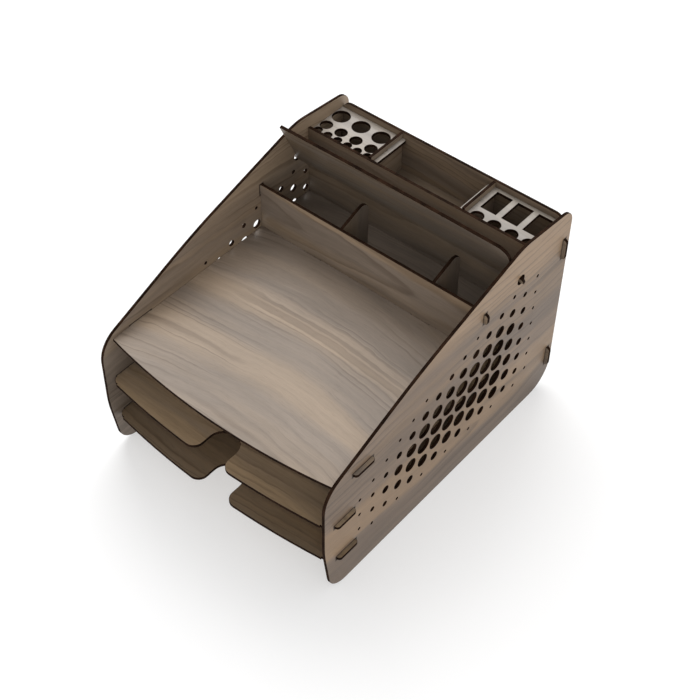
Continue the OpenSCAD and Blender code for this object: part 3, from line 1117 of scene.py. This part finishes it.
class PenRow(SubAssembly):
    """The grid boards, their dividers and the floor of the bin between them."""

    def __init__(self) -> None:
        """Chooses the veneers."""
        pale = {
            "cool": (0.29, 0.262, 0.235),
            "warm": (0.33, 0.29, 0.245),
            "line": (0.20, 0.17, 0.145),
            "cloud": 0.9,
        }
        super().__init__(
            {
                "tray_divider_left": VeneerFinish(heart=(0.1, 0.25), seed=111.0),
                "tray_divider_right": VeneerFinish(heart=(0.1, 0.25), seed=121.0),
                # The bin floor is darkened as painted shade at the bottom of the deep bin.
                "bin_floor": VeneerFinish(tone_and_light=0.65, heart=(0.0, 0.1), seed=131.0),
                "pen_grid": VeneerFinish(heart=(-0.1, 0.2), seed=141.0, **pale),
                "tool_grid": VeneerFinish(heart=(0.1, 0.2), seed=151.0, **pale),
            }
        )


class LiftLid(SubAssembly):
    """The lid that swings on two flat pivot tabs."""

    def __init__(self) -> None:
        """Chooses the veneer."""
        # The lid is darkened partly as painted shade on its front face.
        super().__init__({"lid": VeneerFinish(tone_and_light=0.7, heart=(0.03, 0.2), seed=161.0)})


@dataclass(frozen=True)
class SoftBox:
    """A square softbox.

    Args:
        name: Name of the light.
        place: Where it stands.
        aim: Where it points.
        size: Length of its side.
        power: Power in watts.
        tint: Colour of the light.
    """

    name: str
    place: Colour
    aim: Colour
    size: float
    power: float
    tint: Colour = (1.0, 1.0, 1.0)

    def build(self) -> bpy.types.Object:
        """Makes the light and turns it to its aim."""
        data = bpy.data.lights.new(self.name, "AREA")
        data.shape = "SQUARE"
        data.size = self.size
        data.energy = self.power
        data.color = self.tint
        light = bpy.data.objects.new(self.name, data)
        light.location = self.place
        light.rotation_euler = (Vector(self.aim) - Vector(self.place)).to_track_quat("-Z", "Y").to_euler()
        bpy.context.scene.collection.objects.link(light)
        return light


@dataclass(frozen=True)
class Studio:
    """Pale floor, soft light and the camera at the photograph's angle.

    Args:
        eye: Place of the camera.
        right: The picture's rightward direction.
        down: The picture's downward direction.
        lens: Focal length.
        sensor: Width of the sensor.
        floor_size: Side of the floor.
        floor_colour: Colour of the floor.
        floor_glow: Light of the floor itself, a light table that keeps its shadows pale.
        sky: Colour of the surrounding light.
        sky_strength: Strength of the surrounding light.
        lights: The softboxes.
    """

    eye: Colour = (0.58564, -0.69765, 1.06995)
    right: Colour = (0.76732876, 0.64114604, 0.01176127)
    down: Colour = (0.47647281, -0.55777985, -0.67959936)
    lens: float = 75.43
    sensor: float = 36.0
    floor_size: float = 12.0
    floor_colour: Colour = (0.55, 0.55, 0.55)
    floor_glow: float = 0.48
    sky: Colour = (1.0, 1.0, 1.0)
    sky_strength: float = 0.65
    lights: tuple[SoftBox, ...] = (
        SoftBox("key", (-1.2, 1.3, 2.2), (0.0, 0.0, 0.1), 2.4, 64.0),
        SoftBox("fill", (1.3, -1.5, 1.5), (0.0, 0.0, 0.1), 2.0, 6.0),
    )

    def build(self) -> None:
        """Makes the floor, the lights, the surroundings and the camera."""
        for light in self.lights:
            light.build()
        self.floor()
        self.surroundings()
        self.camera()
        bpy.context.scene.view_settings.view_transform = "Standard"

    def floor(self) -> None:
        """Lays the floor under the object."""
        half = self.floor_size / 2
        corners = [(x, y, 0.0) for x, y in ((-half, -half), (half, -half), (half, half), (-half, half))]
        mesh = bpy.data.meshes.new("floor")
        mesh.from_pydata(corners, [], [(0, 1, 2, 3)])
        graph = Surface("floor")
        speckle = graph.noise(graph.scaled(graph.place, 400.0))
        values = {
            "Base Color": (*self.floor_colour, 1.0),
            "Roughness": 0.9,
            "Specular IOR Level": 0.1,
            "Emission Color": (1.0, 1.0, 1.0, 1.0),
            "Emission Strength": self.floor_glow,
        }
        mesh.materials.append(graph.shade(values, speckle, 0.01 * MM))
        plane = bpy.data.objects.new("floor", mesh)
        bpy.context.scene.collection.objects.link(plane)

    def surroundings(self) -> None:
        """Sets the light that comes from all round."""
        world = bpy.data.worlds.new("studio")
        world.use_nodes = True
        graph = NodeGraph(world.node_tree)
        values = {"Color": (*self.sky, 1.0), "Strength": self.sky_strength}
        graph.node("ShaderNodeOutputWorld", None, {"Surface": graph.node("ShaderNodeBackground", None, values)})
        bpy.context.scene.world = world

    def camera(self) -> None:
        """Sets up the camera from the directions of the picture's axes."""
        right = Vector(self.right).normalized()
        up = -Vector(self.down).normalized()
        back = right.cross(up)
        data = bpy.data.cameras.new("camera")
        data.lens = self.lens
        data.sensor_width = self.sensor
        camera = bpy.data.objects.new("camera", data)
        matrix = Matrix((right, up, back)).transposed().to_4x4()
        matrix.translation = Vector(self.eye)
        camera.matrix_world = matrix
        bpy.context.scene.collection.objects.link(camera)
        bpy.context.scene.camera = camera


def main() -> None:
    """Builds the studio and every sub-assembly, and reports each piece."""
    logging.basicConfig(level=logging.INFO, format="%(message)s")
    Studio().build()
    workshop = Workshop()
    for assembly in (SidePanels(), LetterTrays(), LiddedCompartment(), PenRow(), LiftLid()):
        pieces = assembly.build(workshop)
        LOG.info("%s: %s", type(assembly).__name__, ", ".join(piece.name for piece in pieces))


if __name__ == "__main__":
    main()
